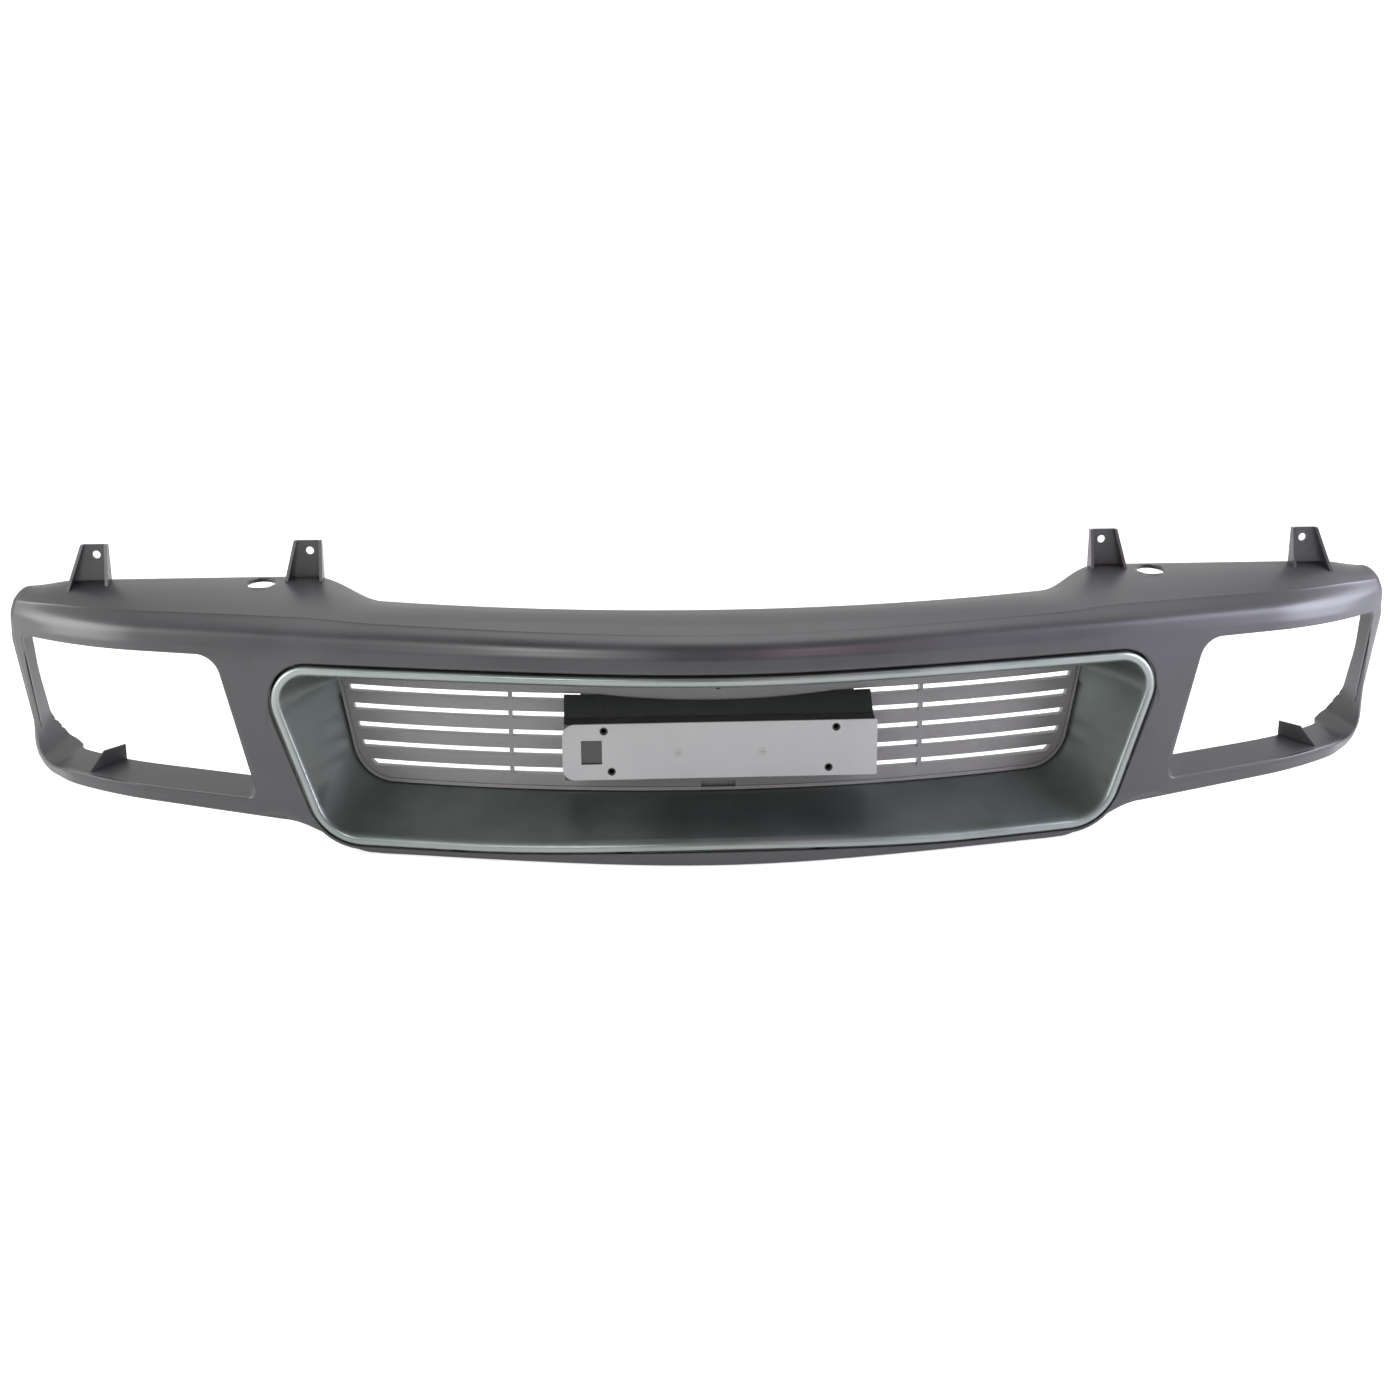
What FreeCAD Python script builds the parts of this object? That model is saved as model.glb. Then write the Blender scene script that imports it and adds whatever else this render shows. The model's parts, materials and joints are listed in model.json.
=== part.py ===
import FreeCAD, Part
import math
import os

# Front header panel with a number-plate grille.
# Millimetres, +Z up, the front faces -Y, X = 0 is the plane of symmetry.
# Shapes are drawn about the grille centre, then moved by DATUM so that the
# origin lies midway between the two inner ear holes, on the ears' rear face.

V = FreeCAD.Vector
DATUM = V(0, 57, 148)

# Header panel: moulded skin
PANEL_WALL = 3.0
FLANGE_WALL = 2.5
PANEL_HALF = 705.0
NOSE_START = 560.0
FRONT_AT_CENTRE = -145.0
FRONT_SWEEP = 0.27
FRONT_ROUNDING = 150.0
NOSE_CURL = 0.00213
REAR_CENTRE = (-80.0, 109.0)
REAR_ENDS = (55.4, 121.3)
REAR_TIP = (640.0, 705.0, 17.0, 8.5)
REAR_LAG = 0.11
REAR_STEP = (325.0, 405.0)
REAR_BOW = 0.00062
CREASE_BACK = (13.0, 4.0)
CREASE_Z = (91.4, 98.4)
FACE_TOP_Z = 64.0
LIP_Z = -126.0
SILL_RISE = (335.0, 425.0, 29.0)
SILL_SLOPE = 0.086
FOOT_ROUND = (26.0, 30.0)
POST_LEAN = (13.5, 64.0, -25.0)
POST_SWELL = 3.0
STATIONS = (0, 70, 140, 205, 260, 305, 335, 355, 375, 395, 415, 440,
            475, 515, 550, 580, 610, 640, 665, 682, 692, 699, 703, 705)

# Openings in the skin
LAMP_OPENING = ((484, 66, 24), (692, 69.5, 5), (683, -20, 60), (682.5, -60, 20),
                (600, -67, 200), (520, -72.5, 200), (449, -77, 9))
LAMP_STEP = 1.1
LAMP_RIM = 12.0
LAMP_LEDGE = 34.0
LAMP_WALL_LEAN = 15.0
LEDGE_NOTCHES = ((645, 672, -38, -29), (645, 678, -30, -18))
GRILLE_GAP = 2.5
GRILLE_FLANGE = 22.0
FLANGE_LIP = (4.0, 1.5)
ACCESS_HOLE = (450.0, 36.0, 14.5)

# Mounting ears
EAR_WALL = 3.0
EAR_HOLE_R = 4.0
EAR_DEPTH = 17.0
EAR_TOP = 10.5
INNER_EAR = (403.0, 148.0)
OUTER_EAR = (614.0, 147.0)

# Grille bezel
RING = ((445, 59, 37), (385, -117, 52))
RING_ARCH = 8.0
LIP_WIDTH = 10.0
LIP_PROUD = 3.0
BEZEL_WALL = 2.5
BUCKET_COLLAR = 14.0

# Louvre insert
INSERT = ((377, 34, 8), (356, -76, 40))
INSERT_GAP = 1.0
INSERT_BOW_R = 1060.0
INSERT_FRONT = -62.0
INSERT_DEPTH = 13.0
INSERT_FRAME = 3.5
BLADE_RECESS = 1.5
BLADE_DEPTH = 10.0
SLOT_TOP_Z = 22.0
SLOT_HEIGHT = 7.0
SLOT_PITCH = 19.0
SLOT_COUNT = 5
PAD_HALF = 134.0
PAD_WALL = 3.0
RIB_X = 203.0
RIB_WIDTH = 4.0
BOX_SCREWS = (125.0, -8.0, -45.0)
SNAP_X = (59.0, 79.0, 200.0)
TAB_X = (-300.0, -110.0, 110.0, 300.0)
TAB_RISE = 6.0
SLOT_INSET = 10.0

# Plate box and plate
BOX_HALF = 150.0
BOX_WALL = 2.5
BOX_FRONT = -89.0
BOX_Z = (-55.0, 1.0)
BOX_REAR_Z = (-60.0, 21.5)
PLATE_FRONT = -92.0
PLATE_T = 2.0
PLATE_HALF = 152.0
PLATE_Z = (-54.0, 1.5)
PLATE_CORNER = 12.0
UPPER_HOLES = (112.0, -5.5)
LOWER_HOLES = (105.0, -46.0)
MIDDLE_HOLES = (40.5, -28.5)
PLATE_HOLE_R = 4.0
PLATE_WINDOW = (-134.0, -114.0, -38.5, -14.5)

# Fasteners: shank radius, head radius, head height of a tapping screw
TAP_SCREW = (2.0, 4.5, 2.6)
BOSS_R = 4.2
COUNTERSINK = (4.2, 2.5)
FIT = 0.2
TOP_SCREW_X = (-330.0, -170.0, 0.0, 170.0, 330.0)
LOW_SCREW_X = (-255.0, -95.0, 95.0, 255.0)


def smooth(value, start, end):
    """0 before start, 1 after end, an S-shaped cubic between."""
    t = min(max((value - start) / (end - start), 0.0), 1.0)
    return t * t * (3 - 2 * t)


def front_y(x):
    """Plan curve of the front face: a hyperbola with curled-back ends."""
    sweep = math.hypot(x, FRONT_ROUNDING) - FRONT_ROUNDING
    curl = max(0.0, abs(x) - NOSE_START)
    return FRONT_AT_CENTRE + FRONT_SWEEP * sweep + NOSE_CURL * curl ** 2


def insert_y(x):
    """Plan arc of the louvre insert's front."""
    return INSERT_FRONT + INSERT_BOW_R - math.sqrt(INSERT_BOW_R ** 2 - x * x)


def bottom_z(x):
    """Lower edge of the skin: level lip, S-bend, then the rising sill."""
    start, end, rise = SILL_RISE
    z = LIP_Z + rise * smooth(x, start, end)
    z += SILL_SLOPE * max(0.0, x - end)
    wide, high = FOOT_ROUND
    u = max(0.0, x - PANEL_HALF + wide) / wide
    return z + high * (1 - math.sqrt(1 - min(u, 1.0) ** 2))


def post_lean(x, z):
    """Inward lean of the end post, with its foot swelling out again."""
    most, top, low = POST_LEAN
    lean = most * min(max((top - z) / (top - low), 0.0), 1.0)
    lean -= POST_SWELL * smooth(-z, 25, 52)
    return -lean * smooth(x, 640, 690)


def section(x):
    """Skin section at front-face station x, from the rear edge downwards."""
    s = smooth(x, *REAR_STEP)
    rear_y = (1 - s) * (REAR_CENTRE[0] + REAR_BOW * x * x) + s * REAR_ENDS[0]
    rear_z = REAR_CENTRE[1] + s * (REAR_ENDS[1] - REAR_CENTRE[1])
    rear_x = x - REAR_LAG * max(0.0, x - NOSE_START)
    tip = smooth(x, *REAR_TIP[:2])
    rear_y += REAR_TIP[2] * tip
    rear_z -= REAR_TIP[3] * tip
    face = front_y(x)
    crease_back = CREASE_BACK[0] + (CREASE_BACK[1] - CREASE_BACK[0]) * tip
    crease_z = CREASE_Z[0] + (CREASE_Z[1] - CREASE_Z[0]) * smooth(x, 0, 600)
    rear = V(rear_x, rear_y, rear_z)
    crease = V(x - 2 * tip, face + crease_back, crease_z)
    points = []
    for t in (0.0, 0.3, 0.6, 0.86):
        bulge = 3.5 * math.sin(math.pi * t)
        points.append(rear + (crease - rear) * t + V(0, 0, bulge))
    brow = V(x, face + 4, 81)
    points.append(crease * 0.82 + (rear * 0.1) + brow * 0.08 + V(0, 0, 1.5))
    points.append(crease * 0.45 + brow * 0.55 + V(0, -2.5, 1))
    points.append(V(x, face + 1, 75.5))
    low = bottom_z(x)
    for t, back in ((0, 0), (0.2, 0), (0.4, 0), (0.6, 0), (0.8, 0), (0.93, 0.6),
                    (1, 4)):
        z = FACE_TOP_Z + (low - FACE_TOP_Z) * t
        points.append(V(x + post_lean(x, z), face + back, z))
    return points


def mirrored(p):
    return V(-p.x, p.y, p.z)


def normals(grid):
    """Unit normals of a grid of points from its neighbours' differences."""
    last_i, last_j = len(grid) - 1, len(grid[0]) - 1
    out = []
    for i, row in enumerate(grid):
        line = []
        for j in range(len(row)):
            du = grid[min(i + 1, last_i)][j] - grid[max(i - 1, 0)][j]
            dv = row[min(j + 1, last_j)] - row[max(j - 1, 0)]
            line.append(du.cross(dv).normalize())
        out.append(line)
    return out


def sewn(faces):
    shell = Part.Shell(faces)
    shell.sewShape()
    solid = Part.Solid(shell)
    if solid.Volume < 0:
        solid.reverse()
    return solid


def sheet(grid, wall):
    """Solid of even wall behind a grid of section points.

    Each row of section points is carried lengthwise by one smooth curve;
    neighbouring curves are joined by ruled strips, the ends are closed.
    """
    inner = [[p + n * wall for p, n in zip(row, line)]
             for row, line in zip(grid, normals(grid))]
    sections = [row + back[::-1] for row, back in zip(grid, inner)]
    knots = [0.0]
    for a, b in zip(sections, sections[1:]):
        knots.append(knots[-1] + (b[0] - a[0]).Length)
    curves = []
    for j in range(len(sections[0])):
        curve = Part.BSplineCurve()
        curve.interpolate(Points=[row[j] for row in sections], Parameters=knots)
        curves.append(curve.toShape())
    faces = [Part.makeRuledSurface(a, b)
             for a, b in zip(curves, curves[1:] + curves[:1])]
    for row in (sections[0], sections[-1]):
        half = len(row) // 2
        for j in range(half - 1):
            outside = Part.makeLine(row[j], row[j + 1])
            inside = Part.makeLine(row[-1 - j], row[-2 - j])
            faces.append(Part.makeRuledSurface(outside, inside))
    return sewn(faces)


def ring_solid(loops):
    """Solid whose section corners follow the given closed point loops."""
    first = loops[0] + [loops[0][0]]
    knots = [0.0]
    for a, b in zip(first, first[1:]):
        knots.append(knots[-1] + (b - a).Length)
    edges = []
    for loop in loops:
        curve = Part.BSplineCurve()
        curve.interpolate(Points=loop, PeriodicFlag=True, Parameters=knots)
        edges.append(curve.toShape())
    faces = [Part.makeRuledSurface(a, b)
             for a, b in zip(edges, edges[1:] + edges[:1])]
    return sewn(faces)


def trapezoid_loop(corners, grow, sides=14, arc=7):
    """Points (x, z, nx, nz) round a symmetric trapezoid with round corners.

    corners holds (half width, z, radius) for the top and the bottom; the
    loop runs clockwise from the middle of the top, offset outward by grow.
    """
    (top_x, top_z, top_r), (low_x, low_z, low_r) = corners
    tilt = math.atan2(top_x - low_x, top_z - low_z)

    def centre(x, z, r, sign):
        run = r * (1 + sign * math.sin(tilt)) / math.cos(tilt)
        return x - run, z - sign * r

    top_cx, top_cz = centre(top_x, top_z, top_r, 1)
    low_cx, low_cz = centre(low_x, low_z, low_r, -1)
    half = []
    for i in range(sides):
        t = math.sin(math.pi / 2 * i / sides)
        half.append((top_cx * t, top_z, 0.0, 1.0))
    for i in range(arc + 1):
        a = math.pi / 2 + (-tilt - math.pi / 2) * i / arc
        n = (math.cos(a), math.sin(a))
        half.append((top_cx + top_r * n[0], top_cz + top_r * n[1]) + n)
    a_start = half[-1]
    n = a_start[2:]
    a_end = (low_cx + low_r * n[0], low_cz + low_r * n[1])
    for t in (0.05, 0.19, 0.39, 0.61, 0.81, 0.95):
        half.append((a_start[0] + (a_end[0] - a_start[0]) * t,
                     a_start[1] + (a_end[1] - a_start[1]) * t) + n)
    for i in range(arc + 1):
        a = -tilt + (tilt - math.pi / 2) * i / arc
        n = (math.cos(a), math.sin(a))
        half.append((low_cx + low_r * n[0], low_cz + low_r * n[1]) + n)
    for i in range(1, sides + 1):
        t = math.cos(math.pi / 2 * i / sides)
        half.append((low_cx * t, low_z, 0.0, -1.0))
    whole = half + [(-x, z, -nx, nz) for x, z, nx, nz in half[-2:0:-1]]
    return [(x + nx * grow, z + nz * grow) for x, z, nx, nz in whole]


def ring_outline(grow):
    """Bezel outline in (x, z); its bottom edge arches up at the centre."""
    out = []
    for x, z in trapezoid_loop(RING, grow):
        arch = RING_ARCH * (1 - smooth(abs(x), 0, 250)) * smooth(-z, 60, 110)
        out.append((x, z + arch))
    return out


def trapezoid_corners(corners, grow):
    """The same trapezoid as (x, z, radius) corners, offset outward by grow."""
    (top_x, top_z, top_r), (low_x, low_z, low_r) = corners
    tilt = math.atan2(top_x - low_x, top_z - low_z)
    side = grow / math.cos(tilt)
    top = top_x + grow * math.tan(tilt) + side
    low = low_x - grow * math.tan(tilt) + side
    top_r, low_r = max(top_r + grow, 1.5), low_r + grow
    return ((top, top_z + grow, top_r), (low, low_z - grow, low_r),
            (-low, low_z - grow, low_r), (-top, top_z + grow, top_r))


def rounded_wire(corners, y):
    """Closed wire in a plane of constant y from (x, z, radius) corners."""
    count = len(corners)
    edges = []
    cuts = []
    for i, (x, z, r) in enumerate(corners):
        here = V(x, y, z)
        before = V(corners[i - 1][0], y, corners[i - 1][1]) - here
        after_xz = corners[(i + 1) % count]
        after = V(after_xz[0], y, after_xz[1]) - here
        before.normalize()
        after.normalize()
        half_angle = before.getAngle(after) / 2
        reach = r / math.tan(half_angle)
        a, b = here + before * reach, here + after * reach
        bisector = (before + after).normalize()
        middle = here + bisector * (r / math.sin(half_angle) - r)
        cuts.append((a, b))
        edges.append(Part.Arc(a, middle, b).toShape())
    for i in range(count):
        a, b = cuts[i][1], cuts[(i + 1) % count][0]
        if (b - a).Length > 1e-6:
            edges.append(Part.makeLine(a, b))
    return Part.Wire(Part.__sortEdges__(edges))


def prism(corners, y0, y1):
    face = Part.Face(rounded_wire(corners, y0))
    return face.extrude(V(0, y1 - y0, 0))


def spline_prism(points, y0, y1):
    curve = Part.BSplineCurve()
    curve.interpolate(Points=[V(x, y0, z) for x, z in points], PeriodicFlag=True)
    return Part.Face(Part.Wire(curve.toShape())).extrude(V(0, y1 - y0, 0))


def plate_of(points, shift):
    """Flat plate: polygon through points, thickened along shift."""
    return Part.Face(Part.makePolygon(points + points[:1])).extrude(shift)


def box(x0, x1, y0, y1, z0, z1):
    return Part.makeBox(x1 - x0, y1 - y0, z1 - z0, V(x0, y0, z0))


def bar(x, y0, y1, z, r):
    """Cylinder along Y."""
    return Part.makeCylinder(r, y1 - y0, V(x, y0, z), V(0, 1, 0))


def both_sides(shape):
    return [shape, shape.mirror(V(0, 0, 0), V(1, 0, 0))]


def bow_slab(y_front, y_back, half, z0, z1):
    """Slab between two arcs parallel to the insert's plan arc."""
    def arc(shift):
        pts = [V(x, insert_y(x) + shift, z0) for x in (-half, 0, half)]
        return Part.Arc(*pts).toShape()
    front, back = arc(y_front), arc(y_back)
    ends = [Part.makeLine(front.Vertexes[i].Point, back.Vertexes[i].Point)
            for i in (0, 1)]
    wire = Part.Wire(Part.__sortEdges__([front, ends[1], back, ends[0]]))
    return Part.Face(wire).extrude(V(0, 0, z1 - z0))


def lamp_loop(grow):
    """Points (x, z) round the lamp opening, offset outward by grow."""
    wire = rounded_wire([(x, z, r) for x, z, r in LAMP_OPENING], 0)
    if grow:
        wire = wire.makeOffset2D(grow)
    return [(p.x, p.z) for p in wire.discretize(Number=73)[:-1]]


def lamp_rear(x, z):
    """Rear edge of the lamp pocket: a deep ledge and outer wall, low rim."""
    floor = smooth(-z, 42, 60)
    outer = smooth(x, 640, 672)
    wall = outer * (0.4 + 0.5 * smooth(-z, -40, 40))
    depth = LAMP_RIM + LAMP_LEDGE * (floor + (1 - floor) * wall)
    shift = outer * (3 + LAMP_WALL_LEAN * smooth(-z, 18, 48))
    return V(x - shift, front_y(x) + depth, z + 10 * floor)


def lamp_pocket():
    """Return flange round one lamp opening."""
    inner = lamp_loop(LAMP_STEP)
    outer = lamp_loop(LAMP_STEP + FLANGE_WALL)
    loops = [[V(x, front_y(x) + 1.0, z) for x, z in inner],
             [lamp_rear(x, z) for x, z in inner],
             [lamp_rear(x, z) for x, z in outer],
             [V(x, front_y(x) + 1.0, z) for x, z in outer]]
    pocket = ring_solid(loops)
    for x0, x1, z0, z1 in LEDGE_NOTCHES:
        y = front_y(x1) + 26
        pocket = pocket.cut(box(x0, x1, y, y + 60, z0, z1))
    return pocket


def ledge_rib():
    """Triangular rib standing across the outer end of the lamp ledge."""
    base, along = V(630, 1, 0), V(-34, 31, 0)
    corners = [base + along * t + V(0, 0, z)
               for t, z in ((0, -70), (1, -64), (1, -44), (0.5, -46))]
    return plate_of(corners, V(1.8, 1.8, 0))


def ear(x, z, top_in, top_out, foot_in, foot_out):
    """Upright lug: slotted-back U box with a bolt hole along Y."""
    top = z + EAR_TOP
    foot = 113.0
    y = DATUM.y - EAR_WALL
    back = plate_of([V(x - top_in, y, top), V(x + top_out, y, top),
                     V(x + foot_out, y, foot), V(x - foot_in, y, foot)],
                    V(0, EAR_WALL, 0))
    shape = back
    for sx, fx in ((x - top_in, x - foot_in), (x + top_out, x + foot_out)):
        side = 1 if sx < x else -1
        web = plate_of([V(sx, y + 1, top), V(fx, y + 1, foot),
                        V(fx, y + 1 - EAR_DEPTH, foot),
                        V(sx, y - 4, top)],
                       V(side * EAR_WALL, 0, 0))
        shape = shape.fuse(web)
    return shape.cut(bar(x, y - 5, y + 10, z, EAR_HOLE_R))


def screw_places():
    """(x, z) of the bezel screws: five along the top, four along the bottom."""
    top = RING[0][1] - 5
    low = RING[1][1] + 5
    places = [(x, top) for x in TOP_SCREW_X]
    for x in LOW_SCREW_X:
        places.append((x, low + RING_ARCH * (1 - smooth(abs(x), 0, 250))))
    return places


def header_panel():
    right = [section(x) for x in STATIONS]
    left = [[mirrored(p) for p in row] for row in right[:0:-1]]
    skin = sheet(left + right, PANEL_WALL)
    skin = skin.cut(spline_prism(ring_outline(GRILLE_GAP), -200, 60))
    opening = prism(LAMP_OPENING, -120, 120)
    flange_in = ring_outline(GRILLE_GAP + 0.5)
    flange_out = ring_outline(GRILLE_GAP + 0.5 + FLANGE_WALL)
    reach, thick = FLANGE_LIP
    lip = ring_outline(GRILLE_GAP + 0.5 - reach)
    start, end = 1.0, GRILLE_FLANGE + thick
    flange = ring_solid([
        [V(x, front_y(x) + back, z) for x, z in outline]
        for outline, back in ((flange_in, start), (flange_in, GRILLE_FLANGE),
                              (lip, GRILLE_FLANGE), (lip, end),
                              (flange_out, end), (flange_out, start))])
    parts = [flange]
    for shape in (lamp_pocket(), ledge_rib(),
                  ear(*INNER_EAR, 12.5, 15, 13, 26), ear(*OUTER_EAR, 12, 14, 12.5, 29)):
        parts += both_sides(shape)
    for cut in both_sides(opening):
        skin = skin.cut(cut)
    x, y, r = ACCESS_HOLE
    for cut in both_sides(Part.makeCylinder(r, 60, V(x, y, 90))):
        skin = skin.cut(cut)
    for x, z in screw_places():
        parts.append(panel_lug(x, z))
    body = skin.fuse(parts)
    for x, z in screw_places():
        y = front_y(x) + GRILLE_FLANGE
        body = body.cut(bar(x, y - 5, y + 12, z, TAP_SCREW[0] + FIT))
    return body


def panel_lug(x, z):
    """Tab on the rear of the grille flange that takes one bezel screw."""
    y = front_y(x) + GRILLE_FLANGE
    up = 1 if z > 0 else -1
    z_in, z_out = z - up * 5, z + up * (5 + GRILLE_GAP + 1.5)
    return box(x - 7, x + 7, y - 1, y + 1.8, min(z_in, z_out), max(z_in, z_out))


def grille_bezel():
    lip = [(0, 14), (0, 0.5), (-1.5, -LIP_PROUD + 0.6), (-4, -LIP_PROUD),
           (-7.5, -LIP_PROUD + 0.8), (-LIP_WIDTH, 2)]
    loops = [[V(x, front_y(x) + back, z) for x, z in ring_outline(n)]
             for n, back in lip]
    far = INSERT_GAP + BEZEL_WALL
    for n, back in ((INSERT_GAP, 0), (INSERT_GAP, BUCKET_COLLAR),
                    (far, BUCKET_COLLAR), (far, 1.5)):
        loops.append([V(x, insert_y(x) + back, z)
                      for x, z in trapezoid_loop(INSERT, n)])
    under = [(-LIP_WIDTH + 0.6, 5.5), (-6.5, 1), (-3, 1), (-BEZEL_WALL, 14)]
    loops += [[V(x, front_y(x) + back, z) for x, z in ring_outline(n)]
              for n, back in under]
    body = ring_solid(loops)
    for x, z in screw_places():
        y = front_y(x)
        body = body.fuse(bar(x, y + 0.2, y + GRILLE_FLANGE - 1.6, z, BOSS_R))
        body = body.cut(bar(x, y + 6, y + GRILLE_FLANGE, z, TAP_SCREW[0] + 0.1))
    for x in TAB_X:
        z = INSERT[0][1] + TAB_RISE
        y = insert_y(x)
        body = body.fuse(bar(x, y, y + INSERT_DEPTH + 0.6, z, BOSS_R))
        body = body.cut(bar(x, y + 4, y + 20, z, TAP_SCREW[0] + 0.1))
    for x in SNAP_X:
        y = insert_y(x)
        for window in both_sides(box(x - 3, x + 3, y + 3, y + 8, -84, -74)):
            body = body.cut(window)
    return body


def louvre_insert():
    z0, z1 = INSERT[1][1], INSERT[0][1]
    outer = prism(trapezoid_corners(INSERT, 0), -90, 60)
    inner = prism(trapezoid_corners(INSERT, -INSERT_FRAME), -90, 60)
    frame = bow_slab(0, INSERT_DEPTH, 390, z0 - 5, z1 + 5).common(outer.cut(inner))
    field = bow_slab(BLADE_RECESS, BLADE_RECESS + BLADE_DEPTH, 390,
                     z0 - 5, z1 + 5).common(outer)
    hole = prism(trapezoid_corners(INSERT, -SLOT_INSET), -90, 60)
    for i in range(SLOT_COUNT):
        top = SLOT_TOP_Z - i * SLOT_PITCH
        for x0, x1 in ((PAD_HALF, RIB_X - RIB_WIDTH / 2), (RIB_X + RIB_WIDTH / 2, 400)):
            for slot in both_sides(box(x0, x1, -90, 60, top - SLOT_HEIGHT, top)):
                field = field.cut(slot.common(hole))
    pocket_half = BOX_SCREWS[0] - 8
    pocket = bow_slab(BLADE_RECESS + PAD_WALL, 60, pocket_half, z0 + 12, z1 - 12)
    body = frame.fuse(field.cut(pocket))
    y = insert_y(0)
    body = body.cut(box(-17, 17, y - 1, y + 6, z0 + 3, z0 + 9))
    body = body.cut(box(-2, 2, y - 1, y + 4, z1 - 8, z1 - 2))
    for x in SNAP_X:
        y = insert_y(x)
        for hook in both_sides(box(x - 2.4, x + 2.4, y + 4, y + 7,
                                   z0 - 3, z0 + 2)):
            body = body.fuse(hook)
    for x in TAB_X:
        y = insert_y(x) + INSERT_DEPTH
        tab = box(x - 7, x + 7, y - 2, y + 3, z1 - 5, z1 + 11)
        clear = box(x - 8, x + 8, y - 8, y + 0.9 + 0.3, z1, z1 + 14)
        body = body.fuse(tab.cut(clear))
        body = body.cut(bar(x, y - 1, y + 6, z1 + TAB_RISE, TAP_SCREW[0] + FIT))
    for x, z in box_screw_places():
        y = insert_y(x)
        body = body.cut(bar(x, y - 5, y + 20, z, TAP_SCREW[0] + FIT))
    return body


def box_screw_places():
    x, high, low = BOX_SCREWS
    return [(-x, high), (x, high), (-x, low), (x, low)]


def box_profile(inset):
    """Side view of the plate box, from the bottom front round."""
    y = BOX_FRONT + inset
    rear = -30
    return [(y, BOX_Z[0] + inset), (y, BOX_Z[1] - inset),
            (y + 14, BOX_Z[1] + 3 - inset), (insert_y(0) + 6, BOX_REAR_Z[1] - inset),
            (rear, BOX_REAR_Z[1] - inset), (rear, BOX_REAR_Z[0] + inset)]


def plate_box():
    def block(inset):
        half = BOX_HALF - inset
        pts = [V(-half, y, z) for y, z in box_profile(inset)]
        return plate_of(pts, V(2 * half, 0, 0))
    body = block(0)
    upright = [e for e in body.Edges
               if abs(e.Vertexes[0].Z - e.Vertexes[1].Z) > 20
               and e.BoundBox.YLength < 0.1 and e.BoundBox.YMax < BOX_FRONT + 1]
    body = body.makeFillet(2.0, upright)
    body = body.cut(block(BOX_WALL))
    for x, z in box_screw_places():
        body = body.fuse(bar(x, BOX_FRONT + 1, -30, z, 4.6))
        body = body.cut(bar(x, BOX_FRONT + 6, -29, z, TAP_SCREW[0] + 0.1))
    for x, z in (UPPER_HOLES, LOWER_HOLES):
        for hole in both_sides(box(x - 4.7, x + 4.7, BOX_FRONT - 5, BOX_FRONT + 5,
                                   z - 4.7, z + 4.7)):
            body = body.cut(hole)
    x, z = MIDDLE_HOLES
    for hole in both_sides(bar(x, BOX_FRONT - 5, BOX_FRONT + 6, z, 2.7)):
        body = body.cut(hole)
    behind = bow_slab(-0.4, 60, 390, -90, 60)
    return body.cut(behind)


def mounting_plate():
    y0, y1 = PLATE_FRONT, PLATE_FRONT + PLATE_T
    low, high = PLATE_Z
    corners = ((PLATE_HALF, high, 1.5), (PLATE_HALF, low, 1.5),
               (-PLATE_HALF, low, PLATE_CORNER), (-PLATE_HALF, high, PLATE_CORNER))
    body = prism(corners, y0, y1)
    for x, z in (UPPER_HOLES, LOWER_HOLES):
        for hole in both_sides(bar(x, y0 - 1, y1 + 1, z, PLATE_HOLE_R)):
            body = body.cut(hole)
    x, z = MIDDLE_HOLES
    sink = countersink(x, y0, z, COUNTERSINK[0] + FIT, COUNTERSINK[1] + FIT)
    for hole in both_sides(bar(x, y0 - 1, y1 + 1, z, COUNTERSINK[1] + FIT).fuse(sink)):
        body = body.cut(hole)
    x0, x1, z0, z1 = PLATE_WINDOW
    return body.cut(box(x0, x1, y0 - 1, y1 + 1, z0, z1))


def countersink(x, y, z, wide, narrow):
    """45-degree cone with its wide end at y, narrowing backwards."""
    return Part.makeCone(wide, narrow, wide - narrow, V(x, y, z), V(0, 1, 0))


def plate_screws():
    """Countersunk screws, so that a number plate can lie on the face."""
    x, z = MIDDLE_HOLES
    head_r, shank_r = COUNTERSINK
    top = PLATE_FRONT + FIT / 2
    head = countersink(x, top, z, head_r, shank_r)
    shank = bar(x, top + 0.5, BOX_FRONT + 9, z, shank_r)
    slot = box(x - 2.2, x + 2.2, top - 1, top + 0.9, z - 0.5, z + 0.5)
    cross = slot.fuse(box(x - 0.5, x + 0.5, top - 1, top + 0.9, z - 2.2, z + 2.2))
    return both_sides(head.fuse(shank).cut(cross))


def hexagon(x, y0, y1, z, across):
    r = across / math.sqrt(3)
    pts = [V(x + r * math.cos(math.radians(60 * i)), y0,
             z + r * math.sin(math.radians(60 * i))) for i in range(6)]
    return plate_of(pts, V(0, y1 - y0, 0))


def plate_screw_nuts():
    x, z = MIDDLE_HOLES
    start = BOX_FRONT + BOX_WALL + 0.1
    nut = bar(x, start, start + 1, z, 5.5).fuse(hexagon(x, start + 1, start + 5, z, 8))
    return both_sides(nut.cut(bar(x, start - 1, start + 6, z, COUNTERSINK[1] + FIT)))


def plate_nut_inserts():
    out = []
    for x, z in (UPPER_HOLES, LOWER_HOLES):
        head = box(x - 6.5, x + 6.5, BOX_FRONT - 0.9, BOX_FRONT - 0.1,
                   z - 6.5, z + 6.5)
        shank = box(x - 4.4, x + 4.4, BOX_FRONT - 0.5, BOX_FRONT + 9,
                    z - 4.4, z + 4.4)
        bore = bar(x, BOX_FRONT - 2, BOX_FRONT + 12, z, 2.3)
        out += both_sides(head.fuse(shank).cut(bore))
    return out


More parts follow.
